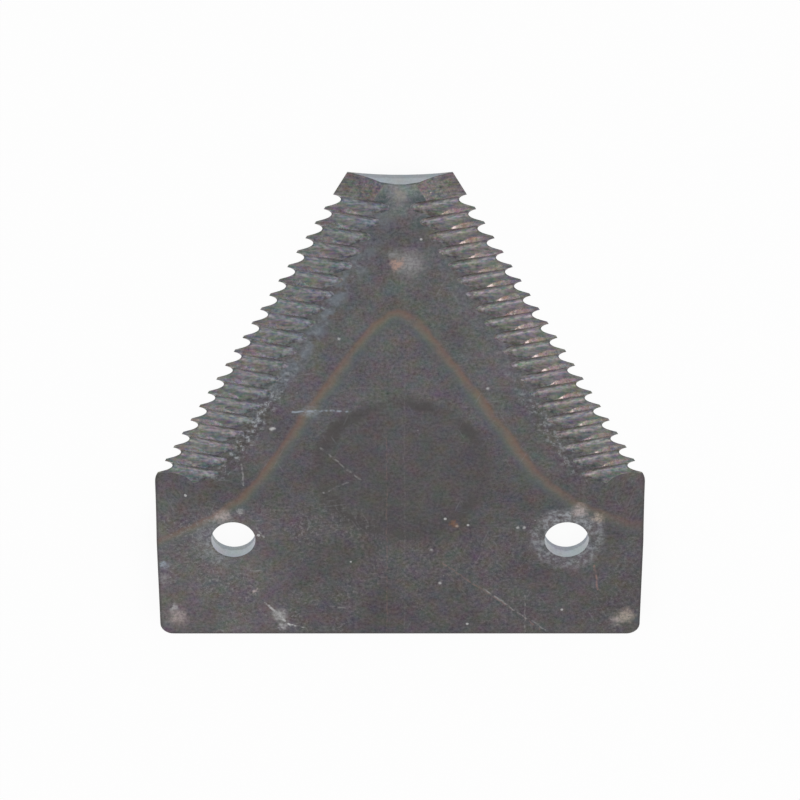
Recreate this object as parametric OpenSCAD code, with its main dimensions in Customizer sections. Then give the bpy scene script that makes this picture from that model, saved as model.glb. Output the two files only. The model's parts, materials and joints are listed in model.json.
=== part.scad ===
// Mower sickle section: one stamped steel blade plate with a hollow-ground bevel
// and a row of cross-cut serrations along each of its two cutting edges.
// It lies flat on its underside. The origin is midway between the two bar holes
// on the underside, +X runs along the back edge, +Y to the tip and +Z up.

/* [Blank] */
// Width across the base
base_w = 74.2; // [70:0.1:80]
// Length of the straight sides, from the back edge to the shoulders
side_l = 28.8; // [26:0.1:34]
// Length from the back edge to the tip corners
overall_l = 83.95; // [78:0.05:90]
// Width across the tip corners
tip_w = 15.1; // [13.5:0.1:18]
// Depth of the hollow in the tip end
tip_hollow = 0.5; // [0.2:0.05:1.2]
// Thickness of the plate
plate_t = 2.5; // [2:0.05:3.2]
// Radius of the two back corners
back_corner_r = 2; // [0.5:0.1:5]
// Radius of the two shoulders
shoulder_r = 3; // [1:0.1:5]

/* [Bar holes] */
// Diameter of each hole
hole_d = 6.75; // [5:0.05:8]
// Distance between the hole centres
hole_pitch = 50.8; // [44:0.1:54]
// Distance from the back edge to the hole centres
hole_setback = 18.6; // [15:0.1:22]

/* [Cutting bevel] */
// Width of the hollow-ground bevel, square to the cutting edge
bevel_w = 4.9; // [4:0.1:6]
// Thickness left at the cutting edge
edge_t = 0.12; // [0.05:0.01:0.3]
// Depth of the hollow below a straight bevel
hollow_depth = 0.45; // [0.1:0.01:0.6]

/* [Serrations] */
// Spacing of the grooves along the length of the blade
groove_pitch = 2.54; // [2.2:0.02:2.6]
// Distance from the tip corners to the first groove
tip_land = 4.7; // [3.5:0.1:6]
// Least distance from the last groove to the shoulder
shoulder_land = 2; // [1:0.1:8]
// Depth of the gullet between two teeth, measured along X
gullet_d = 1.55; // [1.2:0.05:2.2]
// Fall of the groove floors below the top face, in degrees
groove_fall = 19.5; // [18:0.5:24]
// Turn of the grooves' inner ends towards the tip, in degrees
groove_turn = 2.5; // [0:0.5:5]
// Rise of the groove flanks from level, in degrees
flank_rise = 50; // [40:1:54]
// Radius at the root of each groove
root_r = 1.2; // [0.8:0.05:1.3]

/* [Hidden] */
$fn = 96;
// Overshoot of the cutters past the faces that they cut
over = 4;

half_base = base_w / 2;
half_tip = tip_w / 2;
back_y = -hole_setback;
tip_y = back_y + overall_l;
shoulder_y = back_y + side_l;

// Lean of each cutting edge away from the blade's axis
edge_dx = half_base - half_tip;
edge_dy = tip_y - shoulder_y;
edge_l = norm([edge_dx, edge_dy]);
edge_angle = atan2(edge_dx, edge_dy);

// The hollow is an arc over the chord from the cutting edge to the top face
bevel_rise = plate_t - edge_t;
bevel_chord = norm([bevel_w, bevel_rise]);
hollow_r = bevel_chord ^ 2 / (8 * hollow_depth) + hollow_depth / 2;
hollow_lift = hollow_r - hollow_depth;
// Axis of the hollow, inward from the cutting edge and up from the underside
hollow_in = bevel_w / 2 - hollow_lift * bevel_rise / bevel_chord;
hollow_up = edge_t + bevel_rise / 2 + hollow_lift * bevel_w / bevel_chord;

// Length past the shoulder at which the hollow leaves the side of the base
runout_l = bevel_w / tan(edge_angle);

// The tip end is an arc through both tip corners
tip_r = (half_tip ^ 2 + tip_hollow ^ 2) / (2 * tip_hollow);

// As many grooves as the edge has room for
groove_count = 1 + floor((edge_dy - tip_land - shoulder_land) / groove_pitch);
groove_step = groove_pitch * tan(edge_angle);
first_groove_y = tip_y - tip_land;
first_gullet_x = half_tip + tip_land * tan(edge_angle) - gullet_d;

// Step from groove to groove in their section, which is square to the groove floors
step_across = groove_pitch * cos(groove_turn) - groove_step * sin(groove_turn);
step_along = groove_step * cos(groove_turn) + groove_pitch * sin(groove_turn);
step_up = step_along * sin(groove_fall);
comb_l = (base_w + 2 * over) / cos(groove_fall);

// Section of one groove
flank_out = groove_pitch * 1.2;
root_half = root_r * sin(flank_rise);
root_rise = root_r * (1 - cos(flank_rise));
flank_h = root_rise + (flank_out - root_half) * tan(flank_rise);

// What a round corner leaves over between the directions from and to of its centre
module corner_waste(centre, r, from, to) {
    reach = 1.1 * r / cos((to - from) / 2) ^ 2;
    translate(centre)
        difference() {
            polygon([
                [0, 0],
                reach * [cos(from), sin(from)],
                reach * [cos(to), sin(to)]
            ]);
            circle(r);
        }
}

// Outline of the blank, symmetric about the blade's axis
module blank_outline() {
    right = [
        [half_tip, tip_y],
        [half_base, shoulder_y],
        [half_base, back_y]
    ];
    left = [for (i = [2:-1:0]) [-right[i].x, right[i].y]];
    shoulder_c = [half_base - shoulder_r, shoulder_y - shoulder_r * tan(edge_angle / 2)];
    back_c = [half_base - back_corner_r, back_y + back_corner_r];
    difference() {
        polygon(concat(right, left));
        for (flip = [0, 1])
            mirror([flip, 0]) {
                corner_waste(shoulder_c, shoulder_r, 0, edge_angle);
                corner_waste(back_c, back_corner_r, -90, 0);
            }
        translate([0, tip_y - tip_hollow + tip_r]) circle(tip_r, $fn = 360);
    }
}

// Wheel-shaped cut that hollows the top side of the right cutting edge
module hollow_bevel() {
    translate([half_tip, tip_y, hollow_up])
        rotate([0, 0, edge_angle])
            rotate([90, 0, 0])
                translate([-hollow_in, 0, -over])
                    cylinder(r = hollow_r, h = edge_l + runout_l + 2 * over);
}

// Section of one groove: straight flanks that run into a round root
module groove_section() {
    polygon([
        [root_half, root_rise],
        [flank_out, flank_h],
        [-flank_out, flank_h],
        [-root_half, root_rise]
    ]);
    translate([0, root_r]) circle(root_r);
}

// All grooves of the right cutting edge as one comb-shaped cut. Their floors are parallel:
// each falls outward and comes out of the underside at its gullet.
module serration_comb() {
    translate([first_gullet_x, first_groove_y, 0])
        rotate([0, 0, -groove_turn])
            rotate([0, groove_fall, 0])
                rotate([90, 0, 90])
                    translate([0, 0, -comb_l / 2])
                        linear_extrude(comb_l)
                            for (i = [0 : groove_count - 1])
                                translate(i * [-step_across, step_up]) groove_section();
}

module sickle_section() {
    color("dimgray")
        difference() {
            linear_extrude(plate_t) blank_outline();
            for (side = [-1, 1])
                translate([side * hole_pitch / 2, 0, -over])
                    cylinder(d = hole_d, h = plate_t + 2 * over);
            for (flip = [0, 1])
                mirror([flip, 0, 0]) {
                    hollow_bevel();
                    serration_comb();
                }
        }
}

sickle_section();
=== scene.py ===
"""Looks of a mower sickle section: one heat-tinted steel blade plate with ground bevels and flutes."""
import json
import math

import bpy
from mathutils import Matrix, Vector


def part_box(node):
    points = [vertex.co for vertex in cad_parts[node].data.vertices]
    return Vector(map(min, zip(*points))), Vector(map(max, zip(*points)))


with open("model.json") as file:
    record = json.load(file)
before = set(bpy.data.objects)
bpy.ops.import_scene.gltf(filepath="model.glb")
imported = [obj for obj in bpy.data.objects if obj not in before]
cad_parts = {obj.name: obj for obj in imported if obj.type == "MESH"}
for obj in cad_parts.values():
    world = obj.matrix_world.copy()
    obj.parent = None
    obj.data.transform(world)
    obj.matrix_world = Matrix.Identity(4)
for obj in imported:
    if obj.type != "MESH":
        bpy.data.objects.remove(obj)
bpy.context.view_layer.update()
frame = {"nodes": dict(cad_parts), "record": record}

# One millimetre in the scene's metres. Sizes and places below are in millimetres
MM = 0.001

# The blade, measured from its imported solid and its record
blade = frame["nodes"]["sickle_section"]
low_corner, high_corner = [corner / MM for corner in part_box("sickle_section")]
PLATE_TOP = high_corner.z
TIP_Y = high_corner.y
BACK_Y = low_corner.y
HALF_BASE = high_corner.x
bar_holes = next(mount for mount in frame["record"]["mounts"] if mount["name"] == "bar_holes")
HOLE_RADIUS = bar_holes["dims"]["hole_r_mm"]
HOLE_X = bar_holes["dims"]["spacing_x_mm"] / 2

# Half the width of the tip, and the place of the shoulders
HALF_TIP = 7.55
SHOULDER_Y = 10.2
# Run of the right cutting edge, from the tip corner to the shoulder, and the way into the blade
EDGE_RUN = Vector((HALF_BASE - HALF_TIP, SHOULDER_Y - TIP_Y, 0)).normalized()
EDGE_IN = Vector((EDGE_RUN.y, -EDGE_RUN.x, 0))
# The flutes of the right edge run out along X, fall to the edge and turn a little to the back
FLUTE_FALL = math.radians(19.5)
FLUTE_TURN = math.radians(2.5)
FLUTE_OUT = Vector((math.cos(FLUTE_TURN), -math.sin(FLUTE_TURN), 0))
FLUTE_RUN = FLUTE_OUT * math.cos(FLUTE_FALL) - Vector((0, 0, math.sin(FLUTE_FALL)))
FLUTE_ACROSS = Vector((math.sin(FLUTE_TURN), math.cos(FLUTE_TURN), 0))
# The flutes lie between these two places. Past them the bevels are duller
TIP_LAND_Y = 61.3
SHOULDER_LAND_Y = 12.0
TIP_LAND_BORDER = (TIP_LAND_Y - 0.4, TIP_LAND_Y + 0.4)

# A face is level from this rise of its normal, and a wall is upright below the other
LEVEL_NORMAL = 0.9999
UPRIGHT_NORMAL = 0.02
# Faces this close to a hole's radius are its wall, and walls this close to the tip are its end
HOLE_WALL_REACH = 0.1
TIP_END_REACH = 1.0

# The camera looks down over the tip, with the tip up in the picture
CAMERA_TARGET = Vector((0, 24.65, 0))
CAMERA_DISTANCE = 603.86
CAMERA_LEAN = math.radians(36.58)
SENSOR_WIDTH = 36
PHOTO_WIDTH_PX = 800
PHOTO_FOCAL_PX = 4045.9

# Radii to which edges look worn: those between flutes and lands, and all others
SOFT_CREST = 0.26
SOFT_EDGE = 0.12

# Span of X over which tones turn from those of the left side to those of the right
SIDE_TURN = (-3.0, 3.0)
# Span of Y over which tones along the cutting edges turn from those of the tip to those of the base
BASE_TURN = (38.0, 20.0)
# Span that holds most of a noise's heights
NOISE_SPAN = (0.3, 0.7)
# Shift that gives the underside other patterns than the face has
UNDERSIDE_SHIFT = 40.0
# Middle of a noise's colours
MIDDLE_GREY = (0.5, 0.5, 0.5)

# Kinds of group sockets
NUMBER = "NodeSocketFloat"
VECTOR = "NodeSocketVector"
COLOUR = "NodeSocketColor"


def colour(red, green, blue):
    """An opaque colour."""
    return (red, green, blue, 1.0)


# Tones of the oxide skin and of the marks on it
OXIDE_LOW = colour(0.098, 0.091, 0.095)
OXIDE_MIDDLE = colour(0.122, 0.117, 0.122)
OXIDE_TIP = colour(0.195, 0.200, 0.205)
OXIDE_LEFT = colour(0.130, 0.120, 0.124)
# Dark stains, also used for the painted shade along the rim of the base
DARK_STAIN_AND_SHADE = colour(0.078, 0.072, 0.072)
TEAL_STAIN = colour(0.070, 0.098, 0.098)
SMEAR = colour(0.165, 0.186, 0.212)
WORN_STEEL = colour(0.330, 0.345, 0.365)
PALE_GREY = colour(0.290, 0.286, 0.290)
PALE_OLIVE = colour(0.300, 0.290, 0.250)
COPPER = colour(0.430, 0.290, 0.240)
RUST = colour(0.300, 0.150, 0.070)
BROWNED = colour(0.185, 0.130, 0.100)
WHITE_SCUFF = colour(0.560, 0.560, 0.560)
# Pink scuffs on the face, and also the tone of the painted highlights and glints on the lands and
# flutes
PINK_SCUFF_AND_HIGHLIGHT = colour(0.600, 0.500, 0.490)
ORANGE_SCUFF = colour(0.640, 0.530, 0.450)
BLUE_SCUFF = colour(0.330, 0.370, 0.430)
RED_SCRATCH = colour(0.300, 0.190, 0.170)
GREY_SCRATCH = colour(0.240, 0.235, 0.235)

# Tones of the ground lands between the flutes, and of the bevel past them at the tip. The lands are
# brown on both sides; the right ones are painted warmer, and lighter up from the edge, as painted
# light from the right
LAND_RIGHT_TIP = colour(0.205, 0.170, 0.160)
LAND_RIGHT_BASE = colour(0.170, 0.152, 0.144)
LAND_RIGHT_EDGE = colour(0.165, 0.155, 0.162)
LAND_LEFT_TIP = colour(0.160, 0.160, 0.172)
LAND_LEFT_BASE = colour(0.205, 0.195, 0.206)
TIP_LAND = colour(0.160, 0.150, 0.148)

# Tones of the flutes: their floors, the flanks that face the tip or the back, and the inner ends. The
# flank tones are painted light, set by the way each flank faces
FLUTE_RIGHT = colour(0.216, 0.210, 0.216)
FLUTE_LEFT_TIP = colour(0.198, 0.204, 0.222)
FLUTE_LEFT_BASE = colour(0.240, 0.228, 0.240)
TIP_FLANK_PAINTED_LIGHT = colour(0.235, 0.232, 0.230)
BACK_FLANK_PAINTED_LIGHT_RIGHT = colour(0.280, 0.232, 0.218)
BACK_FLANK_PAINTED_LIGHT_LEFT = colour(0.380, 0.345, 0.340)
INNER_END_RIGHT = colour(0.225, 0.205, 0.198)
INNER_END_LEFT = colour(0.262, 0.274, 0.298)

# Tones of the walls that the punch and the shear left, above the tear and below it
CUT_BRIGHT = colour(0.370, 0.400, 0.430)
CUT_TORN = colour(0.350, 0.375, 0.405)
SIDE_DULL = colour(0.200, 0.200, 0.210)
SIDE_TORN = colour(0.120, 0.115, 0.115)

# Painted glints: bright points painted on the cut metal of the lands and flutes, as values of the
# group of specks
PAINTED_GLINTS = {"Tone": PINK_SCUFF_AND_HIGHLIGHT, "Scale": 0.65, "Amount": 0.6}

# Spots under this radius have a clean border
SMALL_SPOT = 0.6
# Spots on the top face: middle, radius, tone and strength
FACE_SPOTS = [
    ((1.3, 51.2), 2.8, PALE_GREY, 1.0),
    ((-0.4, 51.0), 1.2, COPPER, 1.0),
    ((-1.0, 52.8), 0.9, PALE_GREY, 0.8),
    ((2.6, 62.0), 2.0, TEAL_STAIN, 1.0),
    ((-2.6, 62.0), 2.0, TEAL_STAIN, 1.0),
    ((3.2, 58.0), 1.6, TEAL_STAIN, 0.7),
    ((-2.4, 58.6), 1.8, SMEAR, 0.7),
    ((0.0, 63.2), 1.2, PALE_OLIVE, 0.8),
    ((-27.0, 4.5), 1.5, PINK_SCUFF_AND_HIGHLIGHT, 0.6),
    ((-24.3, 5.4), 0.7, WHITE_SCUFF, 0.5),
    ((27.2, 5.6), 1.4, PINK_SCUFF_AND_HIGHLIGHT, 0.65),
    ((30.0, 4.2), 1.1, ORANGE_SCUFF, 0.6),
    ((8.2, 3.1), 0.7, RUST, 0.45),
    ((8.6, 2.7), 0.3, ORANGE_SCUFF, 0.5),
    ((17.9, 2.4), 0.32, WHITE_SCUFF, 0.65),
    ((18.9, 2.4), 0.32, WHITE_SCUFF, 0.65),
    ((4.8, -2.0), 0.32, WHITE_SCUFF, 0.5),
    ((6.1, -8.5), 0.32, WHITE_SCUFF, 0.65),
    ((13.0, 28.6), 0.32, WHITE_SCUFF, 0.65),
    ((-9.0, 37.7), 0.32, WHITE_SCUFF, 0.65),
    ((-19.2, 21.05), 0.38, WHITE_SCUFF, 0.8),
    ((-18.9, 21.2), 0.36, WHITE_SCUFF, 0.8),
    ((-11.6, 47.7), 0.4, WHITE_SCUFF, 0.9),
    ((-34.9, -13.4), 0.8, WHITE_SCUFF, 0.6),
    ((-34.3, -15.3), 1.8, PINK_SCUFF_AND_HIGHLIGHT, 0.5),
    ((34.9, -15.0), 1.6, ORANGE_SCUFF, 0.55),
    ((33.4, -15.9), 1.1, PINK_SCUFF_AND_HIGHLIGHT, 0.5),
    ((-18.6, -14.9), 1.4, WHITE_SCUFF, 0.6),
    ((-18.2, -17.2), 0.9, WHITE_SCUFF, 0.6),
    ((-22.4, -10.2), 0.6, PINK_SCUFF_AND_HIGHLIGHT, 0.7),
    ((-36.2, -5.0), 1.0, BLUE_SCUFF, 0.8),
    ((-36.0, -7.6), 1.0, PALE_GREY, 0.8),
    ((-13.5, 24.2), 1.3, BLUE_SCUFF, 0.6),
]

# Scratches on the top face: start, end, width, tone and strength
FACE_SCRATCHES = [
    ((-16.0, 24.4), (-7.5, 24.4), 0.26, BLUE_SCUFF, 0.8),
    ((6.5, -4.5), (21.7, -17.6), 0.20, RED_SCRATCH, 0.45),
    ((12.8, -9.6), (19.5, -15.6), 0.18, WHITE_SCUFF, 0.35),
    ((29.7, -5.0), (30.5, -9.8), 0.22, RED_SCRATCH, 0.7),
    ((19.2, -11.0), (19.4, -18.0), 0.16, GREY_SCRATCH, 0.8),
    ((20.5, -16.0), (22.5, -18.0), 0.18, PALE_GREY, 0.8),
    ((-12.0, 17.5), (-6.0, 11.5), 0.22, GREY_SCRATCH, 0.8),
    ((-11.5, 9.0), (-8.0, 11.0), 0.22, PALE_GREY, 0.8),
    ((-23.8, 14.5), (-23.7, 10.5), 0.20, PALE_GREY, 0.8),
    ((-20.6, -12.5), (-17.0, -17.0), 0.28, WHITE_SCUFF, 0.7),
    ((-17.5, -16.6), (-14.6, -17.6), 0.20, WHITE_SCUFF, 0.8),
    ((-10.5, -13.2), (-7.0, -13.8), 0.18, GREY_SCRATCH, 0.8),
    ((-21.8, 2.4), (-20.8, 0.4), 0.25, PALE_GREY, 0.9),
    ((-22.8, -6.0), (-21.4, -6.0), 0.20, PALE_GREY, 0.8),
    ((-2.0, -18.0), (-2.0, 20.0), 0.16, RED_SCRATCH, 0.25),
    ((0.7, -18.0), (0.7, 30.0), 0.16, GREY_SCRATCH, 0.25),
]

# The heat line on the face: an arch over the middle and a low skirt to each side
ARCH_MIDDLE = -0.5
ARCH_TOP = 42.2
ARCH_FALL = 1.69
ARCH_ROUND = 3.0
SKIRT_TOP = 17.4
SKIRT_FALL = 0.45
LINE_TILT = 0.042
LINE_BLEND = 8.0
LINE_WOBBLE = 0.8
# The line fades on the right, over this span from the middle of the arch
LINE_FADE = (20.0, 34.0)
# Temper colours across it: distance inward from the line, tone and strength
TEMPER_COLOURS = [
    (-1.3, colour(0.120, 0.098, 0.100), 0.0),
    (-0.5, colour(0.220, 0.135, 0.100), 0.62),
    (0.1, colour(0.200, 0.165, 0.125), 0.66),
    (0.7, colour(0.130, 0.155, 0.135), 0.55),
    (1.3, colour(0.098, 0.122, 0.138), 0.42),
    (2.3, colour(0.105, 0.110, 0.120), 0.0),
]

# Directions of the hairlines, in degrees
HAIRLINE_TURNS = (8, 67, 118)

# The ring stain on the base
RING_MIDDLE = (0.3, 13.4, 0.0)
RING_RADIUS = 12.2
RING_BORDER = (RING_RADIUS + 0.8, RING_RADIUS - 0.8)

# Depths in from the cutting edge where the fringe beside the flutes comes in and goes out
FRINGE_IN = (6.5, 7.6)
FRINGE_OUT = (10.2, 8.4)

# Distances from the middle of each hole where the wear round it comes in
RIGHT_HOLE_WEAR = (6.4, 5.0)
LEFT_HOLE_WEAR = (7.0, 4.0)


class Net:
    """Short calls that add nodes to one node tree and hand back their sockets."""

    def __init__(self, tree):
        self.tree = tree

    def add(self, kind, **settings):
        node = self.tree.nodes.new(kind)
        for name, value in settings.items():
            setattr(node, name, value)
        return node

    def feed(self, socket, value):
        if isinstance(value, bpy.types.NodeSocket):
            self.tree.links.new(value, socket)
        elif value is not None:
            socket.default_value = value

    def call_all(self, kind, values, **settings):
        node = self.add(kind, **settings)
        for key, value in values.items():
            self.feed(node.inputs[key], value)
        return node.outputs

    def call(self, kind, values, output=0, **settings):
        return self.call_all(kind, values, **settings)[output]

    def math(self, operation, a, b=None, c=None):
        return self.call("ShaderNodeMath", {0: a, 1: b, 2: c}, operation=operation)

    def times(self, product, *factors):
        for factor in factors:
            product = self.math("MULTIPLY", product, factor)
        return product

    def vector(self, operation, a, b):
        return self.call("ShaderNodeVectorMath", {0: a, 1: b}, operation=operation)

    def scaled(self, vector, factor):
        return self.call("ShaderNodeVectorMath", {0: vector, "Scale": factor}, operation="SCALE")

    def dot(self, a, b):
        return self.call("ShaderNodeVectorMath", {0: a, 1: b}, output=1, operation="DOT_PRODUCT")

    def distance(self, a, b):
        gap = self.vector("SUBTRACT", a, b)
        return self.call("ShaderNodeVectorMath", {0: gap}, output=1, operation="LENGTH")

    def parts(self, vector):
        return self.call_all("ShaderNodeSeparateXYZ", {0: vector})

    def point(self, x, y, z):
        return self.call("ShaderNodeCombineXYZ", {0: x, 1: y, 2: z})

    def ease(self, value, span, shown=(0.0, 1.0)):
        """Turns smoothly from the first to the second shown value while the value crosses the span."""
        values = {0: value, 1: span[0], 2: span[1], 3: shown[0], 4: shown[1]}
        return self.call("ShaderNodeMapRange", values, interpolation_type="SMOOTHSTEP")

    def noise(self, point, scale, detail, roughness=0.5, output=0):
        values = {"Vector": point, "Scale": scale, "Detail": detail, "Roughness": roughness}
        return self.call("ShaderNodeTexNoise", values, output=output)

    def patches(self, point, scale, detail, span, shown=(0.0, 1.0), roughness=0.5):
        """Noise that turns from one shown value to the other within a span of its heights."""
        return self.ease(self.noise(point, scale, detail, roughness), span, shown)

    def swing(self, point, scale, detail, reach):
        """Noise that swings by the reach to both sides of zero."""
        return self.math("MULTIPLY_ADD", self.noise(point, scale, detail), 2 * reach, -reach)

    def shaken(self, point, scale, detail, reach, roughness=0.5):
        """The point, moved about by up to the reach in the plane of the plate."""
        shake = self.noise(point, scale, detail, roughness, output=1)
        shake = self.scaled(self.vector("SUBTRACT", shake, MIDDLE_GREY), 2 * reach)
        return self.vector("ADD", point, self.vector("MULTIPLY", shake, (1.0, 1.0, 0.0)))

    def mix(self, amount, a, b):
        return self.call("ShaderNodeMix", {0: amount, 6: a, 7: b}, output=2, data_type="RGBA")

    def group_all(self, tree, values):
        return self.call_all("ShaderNodeGroup", values, node_tree=tree)

    def group(self, tree, values):
        return self.group_all(tree, values)[0]

    def normal(self):
        return self.parts(self.add("ShaderNodeNewGeometry").outputs["Normal"])

    def blade_point(self):
        """Place on the blade in millimetres."""
        coordinates = self.add("ShaderNodeTexCoord")
        return self.scaled(coordinates.outputs["Object"], 1 / MM)

    def right_point(self):
        """Place on the blade in millimetres, with its left half mirrored to the right."""
        x, y, z = self.parts(self.blade_point())
        return self.point(self.math("ABSOLUTE", x), y, z)


def new_group(name, inputs, outputs):
    """A shader node group with named sockets, and the sockets to build between."""
    tree = bpy.data.node_groups.new(name, "ShaderNodeTree")
    for label, kind in inputs.items():
        tree.interface.new_socket(label, in_out="INPUT", socket_type=kind)
    for label, kind in outputs.items():
        tree.interface.new_socket(label, in_out="OUTPUT", socket_type=kind)
    net = Net(tree)
    given = net.add("NodeGroupInput").outputs
    wanted = net.add("NodeGroupOutput").inputs
    return net, given, wanted


def oxide_group():
    """Tone of the oxide skin, from the dark base to the paler tip."""
    net, given, wanted = new_group("Oxide skin", {"Point": VECTOR}, {"Color": COLOUR})
    x, y, _ = net.parts(given["Point"])
    middle = net.ease(y, (0.0, 32.0))
    left = net.times(net.ease(x, (-10.0, -24.0)), net.ease(y, (10.0, 0.0)))
    tip = net.ease(y, (57.0, 64.0))
    tone = net.mix(middle, OXIDE_LOW, OXIDE_MIDDLE)
    tone = net.mix(left, tone, OXIDE_LEFT)
    tone = net.mix(tip, tone, OXIDE_TIP)
    darkest = 0.68
    change = 0.7
    blotch = net.noise(given["Point"], scale=0.10, detail=4.0, roughness=0.6)
    blotch = net.math("MULTIPLY_ADD", blotch, change, darkest)
    net.feed(wanted["Color"], net.scaled(tone, blotch))
    return net.tree


def mottle_group():
    """Cloudy tints and fine specks over one tone of steel."""
    inputs = {"Point": VECTOR, "Tone": COLOUR, "Cloud": NUMBER, "Speck": NUMBER}
    net, given, wanted = new_group("Steel mottle", inputs, {"Color": COLOUR})
    cloud = net.noise(given["Point"], scale=0.42, detail=5.0, roughness=0.6, output=1)
    cloud = net.scaled(net.vector("SUBTRACT", cloud, MIDDLE_GREY), given["Cloud"])
    speck = net.noise(given["Point"], scale=2.0, detail=3.0, roughness=0.8)
    speck = net.math("SUBTRACT", speck, 0.5)
    bright = net.math("MULTIPLY_ADD", speck, given["Speck"], 1.0)
    change = net.vector("ADD", cloud, net.point(bright, bright, bright))
    net.feed(wanted["Color"], net.vector("MULTIPLY", given["Tone"], change))
    return net.tree


def side_group():
    """One tone on the right half of the blade and another on the left half."""
    inputs = {"Point": VECTOR, "Right": COLOUR, "Left": COLOUR}
    net, given, wanted = new_group("Side tones", inputs, {"Color": COLOUR})
    x = net.parts(given["Point"])[0]
    net.feed(wanted["Color"], net.mix(net.ease(x, SIDE_TURN), given["Left"], given["Right"]))
    return net.tree


def scratch_group():
    """A straight scratch between two points."""
    inputs = {"Point": VECTOR, "Start": VECTOR, "End": VECTOR, "Width": NUMBER}
    net, given, wanted = new_group("Scratch", inputs, {"Mask": NUMBER})
    # From the rim of the scratch to its core, in widths
    border = (1.0, 0.2)
    reach = net.vector("SUBTRACT", given["Point"], given["Start"])
    run = net.vector("SUBTRACT", given["End"], given["Start"])
    along = net.math("DIVIDE", net.dot(reach, run), net.dot(run, run))
    held = net.call("ShaderNodeClamp", {0: along})
    miss = net.distance(reach, net.scaled(run, held))
    net.feed(wanted["Mask"], net.ease(net.math("DIVIDE", miss, given["Width"]), border))
    return net.tree


def spot_group():
    """A soft spot round one point."""
    inputs = {"Point": VECTOR, "Centre": VECTOR, "Radius": NUMBER}
    net, given, wanted = new_group("Soft spot", inputs, {"Mask": NUMBER})
    # From the rim of the spot to its core, in radii
    border = (1.25, 0.1)
    miss = net.distance(given["Point"], given["Centre"])
    net.feed(wanted["Mask"], net.ease(net.math("DIVIDE", miss, given["Radius"]), border))
    return net.tree


def hairline_group():
    """Short fine scratches that run in three directions, each with a pattern of its own."""
    net, given, wanted = new_group("Hairlines", {"Point": VECTOR}, {"Mask": NUMBER})
    stretch = 0.10
    mask = 0.0
    for degrees in HAIRLINE_TURNS:
        angle = math.radians(degrees)
        along = net.dot(given["Point"], (math.cos(angle), math.sin(angle), 0.0))
        across = net.dot(given["Point"], (-math.sin(angle), math.cos(angle), 0.0))
        stretched = net.point(net.math("MULTIPLY", along, stretch), across, degrees)
        line = net.patches(stretched, scale=2.6, detail=1.0, span=(0.66, 0.78))
        mask = net.math("MAXIMUM", line, mask)
    net.feed(wanted["Mask"], mask)
    return net.tree


def speck_group():
    """Sparse bright specks, each of its own size: bare metal on the face, painted glints on the lands
    and flutes.
    """
    inputs = {"Point": VECTOR, "Ground": COLOUR, "Tone": COLOUR, "Scale": NUMBER, "Amount": NUMBER}
    net, given, wanted = new_group("Bright specks", inputs, {"Color": COLOUR})
    values = {"Vector": given["Point"], "Scale": given["Scale"]}
    cells = net.call_all("ShaderNodeTexVoronoi", values)
    chance = net.parts(cells["Color"])[0]
    largest = 0.085
    border = 0.03
    size = net.ease(chance, (0.45, 1.0), (0.0, largest))
    mask = net.ease(net.math("SUBTRACT", size, cells["Distance"]), (0.0, border))
    mask = net.math("MULTIPLY", mask, given["Amount"])
    net.feed(wanted["Color"], net.mix(mask, given["Ground"], given["Tone"]))
    return net.tree


def burr_group():
    """Rough specks, dark and bright, as left where a cutter runs out."""
    inputs = {"Point": VECTOR, "Ground": COLOUR, "Amount": NUMBER}
    net, given, wanted = new_group("Burrs", inputs, {"Color": COLOUR})
    rough = net.noise(given["Point"], scale=1.3, detail=4.0, roughness=0.75)
    dark = net.math("MULTIPLY", net.ease(rough, (0.48, 0.40)), given["Amount"])
    bright = net.math("MULTIPLY", net.ease(rough, (0.53, 0.62)), given["Amount"])
    ground = net.mix(dark, given["Ground"], DARK_STAIN_AND_SHADE)
    net.feed(wanted["Color"], net.mix(bright, ground, WORN_STEEL))
    return net.tree


def grain_group():
    """Fine lines of a tool that ran along one direction: their height, and a soft tint."""
    inputs = {"Point": VECTOR, "Run": VECTOR, "Across": VECTOR, "Fineness": NUMBER}
    net, given, wanted = new_group("Tool lines", inputs, {"Height": NUMBER, "Tint": COLOUR})
    stretch = 0.12
    grey_share = 0.5
    along = net.math("MULTIPLY", net.dot(given["Point"], given["Run"]), stretch)
    across = net.dot(given["Point"], given["Across"])
    up = net.parts(given["Point"])[2]
    values = {"Vector": net.point(along, across, up), "Scale": given["Fineness"], "Detail": 3.0}
    height, tint = net.call_all("ShaderNodeTexNoise", values)
    net.feed(wanted["Height"], height)
    net.feed(wanted["Tint"], net.mix(grey_share, tint, net.point(height, height, height)))
    return net.tree


def streak_group():
    """Streaks of tint on the ground, along the run of a tool."""
    inputs = {"Ground": COLOUR, "Tint": COLOUR, "Amount": NUMBER}
    net, given, wanted = new_group("Tool streaks", inputs, {"Color": COLOUR})
    change = net.vector("SUBTRACT", given["Tint"], MIDDLE_GREY)
    change = net.vector("ADD", net.scaled(change, given["Amount"]), (1.0, 1.0, 1.0))
    net.feed(wanted["Color"], net.vector("MULTIPLY", given["Ground"], change))
    return net.tree


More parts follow.
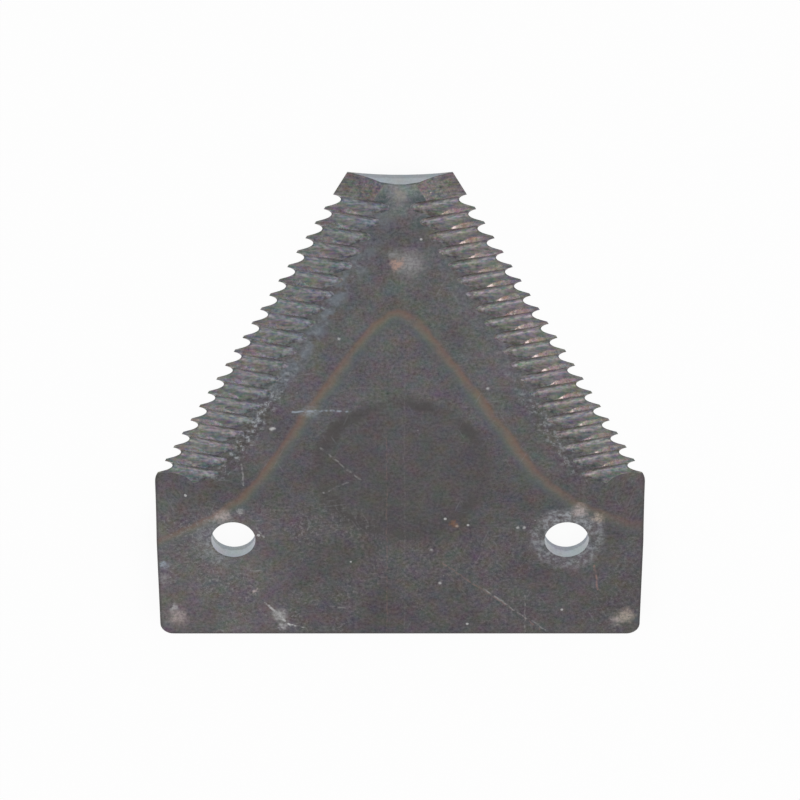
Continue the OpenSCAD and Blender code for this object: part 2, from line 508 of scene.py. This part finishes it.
def inward_of_heat_line(net, point):
    """Distance inward from the heat line, which is an arch blended into a skirt."""
    x, y, _ = net.parts(point)
    level = net.math("SUBTRACT", y, net.math("MULTIPLY", x, LINE_TILT))
    across = net.math("SUBTRACT", x, ARCH_MIDDLE)
    run = net.math("SQRT", net.math("MULTIPLY_ADD", across, across, ARCH_ROUND ** 2))
    arch = net.math("MULTIPLY_ADD", run, -ARCH_FALL, ARCH_TOP + ARCH_FALL * ARCH_ROUND)
    slope = net.math("MULTIPLY", net.math("DIVIDE", across, run), ARCH_FALL)
    steepness = net.math("SQRT", net.math("MULTIPLY_ADD", slope, slope, 1.0))
    in_arch = net.math("DIVIDE", net.math("SUBTRACT", arch, level), steepness)
    skirt = net.math("MULTIPLY_ADD", net.math("ABSOLUTE", across), -SKIRT_FALL, SKIRT_TOP)
    in_skirt = net.math("SUBTRACT", skirt, level)
    inward = net.math("SMOOTH_MAX", in_arch, in_skirt, LINE_BLEND)
    return net.math("ADD", inward, net.swing(point, scale=0.28, detail=4.0, reach=LINE_WOBBLE))


def temper_ramp(net, inward):
    """The temper colours by distance inward from the line, with their strength as alpha."""
    first = TEMPER_COLOURS[0][0]
    last = TEMPER_COLOURS[-1][0]
    ramp = net.add("ShaderNodeValToRGB")
    stops = ramp.color_ramp.elements
    stops_at_start = len(stops)
    for number, (distance, tone, strength) in enumerate(TEMPER_COLOURS):
        place = (distance - first) / (last - first)
        stop = stops[number] if number < stops_at_start else stops.new(place)
        stop.position = place
        stop.color = (*tone[:3], strength)
    share = net.call("ShaderNodeMapRange", {0: inward, 1: first, 2: last})
    net.feed(ramp.inputs[0], share)
    return ramp.outputs


def heat_line_group():
    """Temper colours along the border of the hardened edges, with how strongly they show."""
    net, given, wanted = new_group("Heat line", {"Point": VECTOR}, {"Color": COLOUR, "Amount": NUMBER})
    temper = temper_ramp(net, inward_of_heat_line(net, given["Point"]))
    across = net.math("SUBTRACT", net.parts(given["Point"])[0], ARCH_MIDDLE)
    patchy = net.patches(given["Point"], scale=0.3, detail=3.0, span=(0.25, 0.6), shown=(0.55, 1.0))
    faded = net.ease(across, LINE_FADE, (1.0, 0.5))
    net.feed(wanted["Color"], temper["Color"])
    net.feed(wanted["Amount"], net.times(temper["Alpha"], patchy, faded))
    return net.tree


def new_material(name):
    """A material with only its Principled shader, and the net and shader to build on."""
    material = bpy.data.materials.new(name)
    material.use_nodes = True
    net = Net(material.node_tree)
    shader = material.node_tree.nodes["Principled BSDF"]
    return material, net, shader


def set_bump(net, shader, height, depth, worn=SOFT_EDGE):
    """Bump of this depth, from a height of 0 to 1, on edges that look worn to this radius."""
    soft = net.call("ShaderNodeBevel", {"Radius": worn * MM}, samples=4)
    values = {"Height": height, "Distance": depth * MM, "Strength": 1.0, "Normal": soft}
    net.feed(shader.inputs["Normal"], net.call("ShaderNodeBump", values))


def add_ring_stain(net, flat, ground):
    """A dark round stain in the middle of the base."""
    miss = net.distance(flat, RING_MIDDLE)
    miss = net.math("ADD", miss, net.swing(flat, scale=0.45, detail=5.0, reach=1.7))
    from_band = net.math("ABSOLUTE", net.math("SUBTRACT", miss, RING_RADIUS))
    band = net.ease(from_band, (2.1, 0.2), (0.0, 0.9))
    patchy = net.patches(flat, scale=0.11, detail=3.0, span=(0.38, 0.62), shown=(0.35, 1.0))
    inside = net.ease(miss, RING_BORDER, (0.0, 0.28))
    return net.mix(net.math("MAXIMUM", net.times(band, patchy), inside), ground, DARK_STAIN_AND_SHADE)


def add_flute_fringe(net, point, flat, ground, groups):
    """Smeared and speckled bands beside the inner ends of the flutes."""
    x, y, _ = net.parts(flat)
    mirrored = net.point(net.math("ABSOLUTE", x), y, 0.0)
    depth = net.dot(net.vector("SUBTRACT", mirrored, (HALF_TIP, TIP_Y, 0.0)), EDGE_IN)
    inside = net.times(net.ease(depth, FRINGE_IN), net.ease(depth, FRINGE_OUT))
    band = net.times(inside, net.ease(y, (9.0, 16.0)), net.ease(y, (58.0, 50.0)))
    patchy = net.patches(flat, scale=0.5, detail=4.0, span=(0.35, 0.65))
    on_left = net.ease(x, (2.0, -2.0), (0.2, 1.0))
    smear = net.times(band, on_left, patchy, net.ease(y, (20.0, 32.0)))
    near_base = net.ease(y, (36.0, 24.0), (0.25, 0.95))
    rough = net.times(near_base, band, net.ease(x, (-2.0, 2.0), (1.0, 0.6)))
    ground = net.mix(smear, ground, SMEAR)
    return net.group(groups["burrs"], {"Point": point, "Ground": ground, "Amount": rough})


def add_dusty_patches(net, flat, ground):
    """Fine pale specks in loose patches over the base, most of them on its left."""
    x, y, _ = net.parts(flat)
    patchy = net.patches(flat, scale=0.08, detail=4.0, span=(0.40, 0.58), roughness=0.6)
    on_left = net.ease(x, (0.0, -16.0), (0.45, 1.0))
    on_base = net.ease(y, (12.0, 0.0))
    speck = net.noise(flat, scale=1.7, detail=4.0, roughness=0.8)
    speck = net.ease(speck, (0.49, 0.66), (0.0, 0.70))
    return net.mix(net.times(patchy, on_left, on_base, speck), ground, PALE_GREY)


def add_hole_wear(net, flat, ground):
    """A worn, speckled ring round the right hole, and a few specks beside the left one."""
    x, y, _ = net.parts(flat)
    ragged = net.swing(flat, scale=0.5, detail=3.0, reach=1.5)
    right = net.math("ADD", net.distance(flat, (HOLE_X, 0.0, 0.0)), ragged)
    right = net.times(net.ease(right, RIGHT_HOLE_WEAR), net.ease(y, (0.5, 4.5), (0.55, 0.95)))
    left = net.math("ADD", net.distance(flat, (-HOLE_X, 0.0, 0.0)), ragged)
    left = net.times(net.ease(left, LEFT_HOLE_WEAR, (0.0, 0.5)), net.ease(x, (-24.0, -29.0)))
    wear = net.math("MAXIMUM", right, left)
    thin_wear = 0.24
    grain = net.noise(flat, scale=1.0, detail=4.0, roughness=0.7)
    pits = net.ease(grain, (0.44, 0.34))
    speck = net.ease(grain, (0.45, 0.64))
    ground = net.mix(net.times(wear, thin_wear), ground, WORN_STEEL)
    ground = net.mix(net.times(wear, pits), ground, DARK_STAIN_AND_SHADE)
    return net.mix(net.times(wear, speck), ground, WORN_STEEL)


def add_spots(net, flat, ground, groups):
    """The listed spots: large ones with ragged borders and gritty fill, small ones clean."""
    small_shake = 0.25
    ragged = net.shaken(flat, scale=1.1, detail=4.0, reach=1.3, roughness=0.65)
    clean = net.mix(small_shake, flat, ragged)
    grit = net.noise(flat, scale=2.4, detail=3.0, roughness=0.7)
    grit = net.ease(grit, (0.34, 0.60), (0.35, 1.0))
    for middle, radius, tone, strength in FACE_SPOTS:
        small = radius < SMALL_SPOT
        values = {"Point": clean if small else ragged, "Centre": (*middle, 0.0), "Radius": radius}
        amount = strength if small else net.times(grit, strength)
        ground = net.mix(net.times(net.group(groups["spot"], values), amount), ground, tone)
    return ground


def add_scratches(net, flat, ground, groups):
    """The ground with its listed scratches and hairlines, and the hairlines alone."""
    wavy = net.shaken(flat, scale=0.5, detail=2.0, reach=0.4)
    broken = net.patches(flat, scale=1.3, detail=3.0, span=(0.38, 0.62))
    for start, end, width, tone, strength in FACE_SCRATCHES:
        values = {"Point": wavy, "Start": (*start, 0.0), "End": (*end, 0.0), "Width": width}
        mask = net.times(net.group(groups["scratch"], values), broken, strength)
        ground = net.mix(mask, ground, tone)
    places = net.patches(flat, scale=0.12, detail=2.0, span=(0.42, 0.68), shown=(0.0, 0.20))
    hairs = net.times(net.group(groups["hairline"], {"Point": flat}), places)
    return net.mix(hairs, ground, WORN_STEEL), hairs


def add_painted_rim_shade(net, flat, ground):
    """Painted shade: a thin dark line along the sides and the back of the base."""
    x, y, _ = net.parts(flat)
    to_side = net.math("SUBTRACT", HALF_BASE, net.math("ABSOLUTE", x))
    to_back = net.math("SUBTRACT", y, BACK_Y)
    rim = net.ease(net.math("MINIMUM", to_side, to_back), (0.5, 0.1), (0.0, 0.6))
    return net.mix(rim, ground, DARK_STAIN_AND_SHADE)


def heat_tinted_face(groups):
    """The top face: oxide skin with its heat line, stains, worn places and scratches, with painted
    shade along the rim and painted light on the shoulders.
    """
    material, net, shader = new_material("heat_tinted_face")
    point = net.blade_point()
    x, y, _ = net.parts(point)
    flat = net.point(x, y, 0.0)
    tone = net.group(groups["oxide"], {"Point": flat})
    values = {"Point": flat, "Tone": tone, "Cloud": 0.80, "Speck": 1.9}
    ground = net.group(groups["mottle"], values)
    ground = add_ring_stain(net, flat, ground)
    ground = add_flute_fringe(net, point, flat, ground, groups)
    heat = net.group_all(groups["heat"], {"Point": flat})
    ground = net.mix(heat["Amount"], ground, heat["Color"])
    ground = add_dusty_patches(net, flat, ground)
    ground = add_hole_wear(net, flat, ground)
    ground = add_spots(net, flat, ground, groups)
    ground, hairs = add_scratches(net, flat, ground, groups)
    values = {"Point": flat, "Ground": ground, "Tone": WHITE_SCUFF, "Scale": 0.28, "Amount": 0.7}
    ground = net.group(groups["specks"], values)
    # Painted shade along the rim of the base
    ground = add_painted_rim_shade(net, flat, ground)
    # At the shoulders the skin runs down over the bevels, where it is duller. There its colour is
    # painted lighter on the left than on the right, as painted light
    shoulder_roughness = 0.62
    shoulder = net.ease(net.normal()[2], (0.985, 0.90))
    shoulder_painted_light = net.scaled(ground, net.ease(x, SIDE_TURN, (1.20, 0.98)))
    net.feed(shader.inputs["Base Color"], net.mix(shoulder, ground, shoulder_painted_light))
    shader.inputs["Metallic"].default_value = 0.8
    skin = net.noise(flat, scale=1.8, detail=5.0)
    satin = net.ease(skin, NOISE_SPAN, (0.42, 0.58))
    dull = net.times(shoulder, shoulder_roughness)
    net.feed(shader.inputs["Roughness"], net.math("MAXIMUM", satin, dull))
    set_bump(net, shader, net.math("SUBTRACT", skin, hairs), depth=0.012)
    return material


def rolled_underside(groups):
    """The underside: the same oxide skin with rolling lines and rubbed places."""
    material, net, shader = new_material("rolled_underside")
    x, y, _ = net.parts(net.blade_point())
    flat = net.point(x, y, UNDERSIDE_SHIFT)
    heat_strength = 0.6
    rub_strength = 0.7
    tone = net.group(groups["oxide"], {"Point": flat})
    values = {"Point": flat, "Tone": tone, "Cloud": 0.6, "Speck": 0.7}
    ground = net.group(groups["mottle"], values)
    heat = net.group_all(groups["heat"], {"Point": flat})
    ground = net.mix(net.times(heat["Amount"], heat_strength), ground, heat["Color"])
    values = {"Point": flat, "Run": (0.0, 1.0, 0.0), "Across": (1.0, 0.0, 0.0), "Fineness": 1.4}
    lines = net.group(groups["grain"], values)
    places = net.patches(flat, scale=0.1, detail=3.0, span=(0.4, 0.7))
    rubbed = net.times(net.ease(lines, (0.52, 0.74)), places, rub_strength)
    net.feed(shader.inputs["Base Color"], net.mix(rubbed, ground, WORN_STEEL))
    shader.inputs["Metallic"].default_value = 0.8
    net.feed(shader.inputs["Roughness"], net.ease(lines, NOISE_SPAN, (0.55, 0.40)))
    set_bump(net, shader, lines, depth=0.012)
    return material


def side_tone(net, right, left, groups):
    """A tone for each side of the blade."""
    return net.group(groups["sides"], {"Point": net.blade_point(), "Right": right, "Left": left})


def land_tone(net, y, z, groups):
    """Tone of the lands, by side of the blade and along the edge, with its own past the flutes, and
    with painted light on the right.
    """
    to_base = net.ease(y, BASE_TURN)
    right = net.mix(to_base, LAND_RIGHT_TIP, LAND_RIGHT_BASE)
    # Painted highlight: the right lands turn lighter up from the darker edge
    right = net.mix(net.ease(z, (0.75, 0.2)), right, LAND_RIGHT_EDGE)
    left = net.mix(to_base, LAND_LEFT_TIP, LAND_LEFT_BASE)
    tone = side_tone(net, right, left, groups)
    return net.mix(net.ease(y, TIP_LAND_BORDER), tone, TIP_LAND)


def add_browning(net, y, ground):
    """Brown patches of heat on the lands between the flutes."""
    patchy = net.patches(net.blade_point(), scale=0.8, detail=3.0, span=(0.50, 0.68), shown=(0.0, 0.6))
    return net.mix(net.times(patchy, net.ease(y, (TIP_LAND_Y, 58.0))), ground, BROWNED)


def add_painted_highlight_ends(net, y, z, ground):
    """Painted highlights at the inner ends of the lands, most of them on the right, where the light
    comes from.
    """
    place = net.blade_point()
    x = net.parts(place)[0]
    end = net.times(net.ease(z, (1.30, 1.60)), net.ease(z, (2.30, 2.00)))
    patchy = net.patches(place, scale=1.5, detail=3.0, span=(0.46, 0.60))
    on_lit_right = net.ease(x, (0.0, 6.0), (0.1, 0.95))
    by_flutes = net.ease(y, (TIP_LAND_Y, TIP_LAND_Y - 1.0))
    return net.mix(net.times(end, patchy, on_lit_right, by_flutes), ground, PINK_SCUFF_AND_HIGHLIGHT)


def ground_bevel(groups):
    """The hollow-ground lands of the cutting edges, browned by heat, with painted highlights and
    glints.
    """
    material, net, shader = new_material("ground_bevel")
    place = net.blade_point()
    point = net.right_point()
    _, y, z = net.parts(point)
    values = {"Point": place, "Tone": land_tone(net, y, z, groups), "Cloud": 0.8, "Speck": 1.8}
    ground = net.group(groups["mottle"], values)
    values = {"Point": point, "Run": EDGE_RUN, "Across": EDGE_IN, "Fineness": 5.0}
    lines = net.group(groups["grain"], values)
    ground = net.mix(net.ease(lines, (0.5, 0.75), (0.0, 0.22)), ground, WORN_STEEL)
    values = {"Point": point, "Run": FLUTE_OUT, "Across": FLUTE_ACROSS, "Fineness": 3.0}
    tint = net.group_all(groups["grain"], values)["Tint"]
    ground = net.group(groups["streaks"], {"Ground": ground, "Tint": tint, "Amount": 1.8})
    ground = add_browning(net, y, ground)
    # Painted highlights at the inner ends of the lands
    ground = add_painted_highlight_ends(net, y, z, ground)
    # Painted glints on the lands
    ground = net.group(groups["specks"], {"Point": place, "Ground": ground, **PAINTED_GLINTS})
    net.feed(shader.inputs["Base Color"], ground)
    shader.inputs["Metallic"].default_value = 1.0
    smooth = net.ease(lines, NOISE_SPAN, (0.32, 0.22))
    dull = net.ease(y, TIP_LAND_BORDER, (0.0, 0.5))
    net.feed(shader.inputs["Roughness"], net.math("MAXIMUM", smooth, dull))
    set_bump(net, shader, lines, depth=0.006, worn=SOFT_CREST)
    return material


def flute_tone(net, y, z, groups):
    """Tone of the flutes, with painted light on each flank by the way it faces, and a tone of its own
    at the ragged inner ends.
    """
    left = net.mix(net.ease(y, BASE_TURN), FLUTE_LEFT_TIP, FLUTE_LEFT_BASE)
    tone = side_tone(net, FLUTE_RIGHT, left, groups)
    lean = net.normal()[1]
    # Painted light: the flanks get tones of their own by the way they face
    tone = net.mix(net.ease(lean, (0.05, 0.70)), tone, TIP_FLANK_PAINTED_LIGHT)
    back_flank_painted_light = side_tone(net, BACK_FLANK_PAINTED_LIGHT_RIGHT, BACK_FLANK_PAINTED_LIGHT_LEFT, groups)
    tone = net.mix(net.ease(lean, (-0.15, -0.65)), tone, back_flank_painted_light)
    inner_end = side_tone(net, INNER_END_RIGHT, INNER_END_LEFT, groups)
    tone = net.mix(net.ease(z, (1.4, PLATE_TOP), (0.0, 0.75)), tone, inner_end)
    ragged = net.math("ADD", z, net.swing(net.blade_point(), scale=1.2, detail=4.0, reach=0.7))
    return net.mix(net.ease(ragged, (2.05, 2.45), (0.0, 0.75)), tone, OXIDE_MIDDLE)


def cut_flutes(groups):
    """The cross-cut flutes: streaked floors and flanks with painted light on the flanks, painted
    glints, and burrs at their inner ends.
    """
    material, net, shader = new_material("cut_flutes")
    place = net.blade_point()
    point = net.right_point()
    _, y, z = net.parts(point)
    values = {"Point": place, "Tone": flute_tone(net, y, z, groups), "Cloud": 0.5, "Speck": 1.4}
    ground = net.group(groups["mottle"], values)
    values = {"Point": point, "Run": FLUTE_OUT, "Across": FLUTE_ACROSS, "Fineness": 3.0}
    grain = net.group_all(groups["grain"], values)
    lines = grain["Height"]
    ground = net.group(groups["streaks"], {"Ground": ground, "Tint": grain["Tint"], "Amount": 2.0})
    ground = net.mix(net.ease(lines, (0.52, 0.78), (0.0, 0.5)), ground, WORN_STEEL)
    rough = net.ease(z, (1.5, 2.2), (0.0, 0.48))
    ground = net.group(groups["burrs"], {"Point": place, "Ground": ground, "Amount": rough})
    # Painted glints on the flutes
    ground = net.group(groups["specks"], {"Point": place, "Ground": ground, **PAINTED_GLINTS})
    net.feed(shader.inputs["Base Color"], ground)
    shader.inputs["Metallic"].default_value = 1.0
    net.feed(shader.inputs["Roughness"], net.ease(lines, NOISE_SPAN, (0.45, 0.32)))
    set_bump(net, shader, lines, depth=0.007, worn=SOFT_CREST)
    return material


def sheared_steel(name, tone, torn_tone, groups):
    """A wall left by the punch: burnished near the top face and torn below."""
    material, net, shader = new_material(name)
    point = net.blade_point()
    x, y, z = net.parts(point)
    tear_height = 0.9
    tear_border = 0.15
    streak_stretch = 0.15
    tear = net.math("ADD", net.swing(point, scale=0.8, detail=2.0, reach=0.4), tear_height)
    torn = net.ease(net.math("SUBTRACT", z, tear), (tear_border, -tear_border))
    values = {"Point": point, "Tone": net.mix(torn, tone, torn_tone), "Cloud": 0.3, "Speck": 0.5}
    net.feed(shader.inputs["Base Color"], net.group(groups["mottle"], values))
    shader.inputs["Metallic"].default_value = 1.0
    net.feed(shader.inputs["Roughness"], net.ease(torn, (0.0, 1.0), (0.30, 0.55)))
    stretched = net.point(x, y, net.math("MULTIPLY", z, streak_stretch))
    set_bump(net, shader, net.noise(stretched, scale=3.0, detail=3.0), depth=0.03)
    return material


def wall_finish(centre):
    """Bright cut metal in the holes and across the tip, and dull sheared metal on the other walls."""
    from_hole = math.hypot(abs(centre.x) - HOLE_X, centre.y)
    in_hole = from_hole < HOLE_RADIUS + HOLE_WALL_REACH
    across_tip = centre.y > TIP_Y - TIP_END_REACH and abs(centre.x) < HALF_TIP
    return "cut" if in_hole or across_tip else "sheared"


def finish_of(centre, normal):
    """Which finish a face of the plate has, from its middle in millimetres and its normal."""
    if normal.z > LEVEL_NORMAL:
        return "face"
    if normal.z < -LEVEL_NORMAL:
        return "underside"
    if abs(normal.z) < UPRIGHT_NORMAL:
        return wall_finish(centre)
    right_normal = Vector((math.copysign(1, centre.x) * normal.x, normal.y, normal.z))
    if abs(right_normal.dot(FLUTE_RUN)) < abs(right_normal.dot(EDGE_RUN)):
        return "flute"
    if centre.y < SHOULDER_LAND_Y:
        return "face"
    return "bevel"


def dress_blade(finishes):
    """Gives each face of the blade the finish that it has."""
    mesh = blade.data
    mesh.materials.clear()
    slots = {}
    for name, material in finishes.items():
        slots[name] = len(mesh.materials)
        mesh.materials.append(material)
    for face in mesh.polygons:
        face.material_index = slots[finish_of(face.center / MM, face.normal)]


def make_camera():
    """The camera at the photograph's angle."""
    back = Vector((0, math.sin(CAMERA_LEAN), math.cos(CAMERA_LEAN)))
    right = Vector((1, 0, 0))
    up = back.cross(right)
    camera_data = bpy.data.cameras.new("camera")
    camera_data.sensor_width = SENSOR_WIDTH
    camera_data.lens = SENSOR_WIDTH * PHOTO_FOCAL_PX / PHOTO_WIDTH_PX
    camera = bpy.data.objects.new("camera", camera_data)
    turn = Matrix((right, up, back)).transposed().to_4x4()
    place = (CAMERA_TARGET + back * CAMERA_DISTANCE) * MM
    camera.matrix_world = Matrix.Translation(place) @ turn
    bpy.context.scene.collection.objects.link(camera)
    bpy.context.scene.camera = camera


def white_floor():
    """Mostly plain white where it is seen or mirrored, with a share of matt white for the shadow."""
    material, net, shader = new_material("white_floor")
    plain_share = 0.93
    shader.inputs["Base Color"].default_value = colour(0.9, 0.9, 0.9)
    shader.inputs["Roughness"].default_value = 0.9
    shader.inputs["Specular IOR Level"].default_value = 0.0
    path = net.add("ShaderNodeLightPath").outputs
    seen = net.math("MAXIMUM", path["Is Camera Ray"], path["Is Glossy Ray"])
    amount = net.math("MULTIPLY", seen, plain_share)
    glow = net.call("ShaderNodeEmission", {"Color": colour(1, 1, 1), "Strength": 1.0})
    surface = net.call("ShaderNodeMixShader", {0: amount, 1: shader.outputs[0], 2: glow})
    net.feed(material.node_tree.nodes["Material Output"].inputs["Surface"], surface)
    return material


def make_floor():
    """A wide white floor, just under the blade."""
    half = 3000 * MM
    drop = -0.02 * MM
    mesh = bpy.data.meshes.new("floor")
    corners = [(-half, -half, drop), (half, -half, drop), (half, half, drop), (-half, half, drop)]
    mesh.from_pydata(corners, [], [(0, 1, 2, 3)])
    mesh.materials.append(white_floor())
    floor = bpy.data.objects.new("floor", mesh)
    bpy.context.scene.collection.objects.link(floor)


def make_world():
    """Soft light, brighter from the back of the blade, and a white backdrop where it is seen."""
    world = bpy.data.worlds.new("studio")
    world.use_nodes = True
    bpy.context.scene.world = world
    net = Net(world.node_tree)
    background = world.node_tree.nodes["Background"]
    background.inputs["Color"].default_value = colour(1, 1, 1)
    from_tip = 0.62
    from_back = 0.97
    to_tip = net.parts(net.add("ShaderNodeTexCoord").outputs["Generated"])[1]
    light = net.ease(to_tip, (0.5, -0.5), (from_tip, from_back))
    seen = net.add("ShaderNodeLightPath").outputs["Is Camera Ray"]
    net.feed(background.inputs["Strength"], net.math("MAXIMUM", light, seen))


def make_lamp(name, place, size, power, tint):
    """A square soft lamp that faces the middle of the blade."""
    lamp_data = bpy.data.lights.new(name, "AREA")
    lamp_data.size = size * MM
    lamp_data.energy = power
    lamp_data.color = tint
    lamp = bpy.data.objects.new(name, lamp_data)
    away = Vector(place) - CAMERA_TARGET
    turn = away.to_track_quat("Z", "Y").to_matrix().to_4x4()
    lamp.matrix_world = Matrix.Translation(Vector(place) * MM) @ turn
    bpy.context.scene.collection.objects.link(lamp)


def make_lamps():
    """Two warm lamps on the right and a cool one on the left."""
    make_lamp("key_low", place=(430, 0, 160), size=300, power=0.25, tint=(1.0, 0.93, 0.88))
    make_lamp("key_high", place=(380, -140, 420), size=300, power=0.15, tint=(1.0, 0.97, 0.94))
    make_lamp("fill_left", place=(-430, 60, 280), size=300, power=0.15, tint=(0.92, 0.96, 1.0))


def make_groups():
    """The effects that the finishes are built from."""
    return {
        "oxide": oxide_group(),
        "mottle": mottle_group(),
        "sides": side_group(),
        "scratch": scratch_group(),
        "spot": spot_group(),
        "hairline": hairline_group(),
        "specks": speck_group(),
        "burrs": burr_group(),
        "grain": grain_group(),
        "streaks": streak_group(),
        "heat": heat_line_group(),
    }


def make_finishes(groups):
    """The six finishes of the plate."""
    return {
        "face": heat_tinted_face(groups),
        "underside": rolled_underside(groups),
        "bevel": ground_bevel(groups),
        "flute": cut_flutes(groups),
        "cut": sheared_steel("bare_cut_steel", CUT_BRIGHT, CUT_TORN, groups),
        "sheared": sheared_steel("sheared_sides", SIDE_DULL, SIDE_TORN, groups),
    }


make_camera()
make_floor()
make_world()
make_lamps()
dress_blade(make_finishes(make_groups()))

bpy.context.scene.view_settings.view_transform = "Standard"
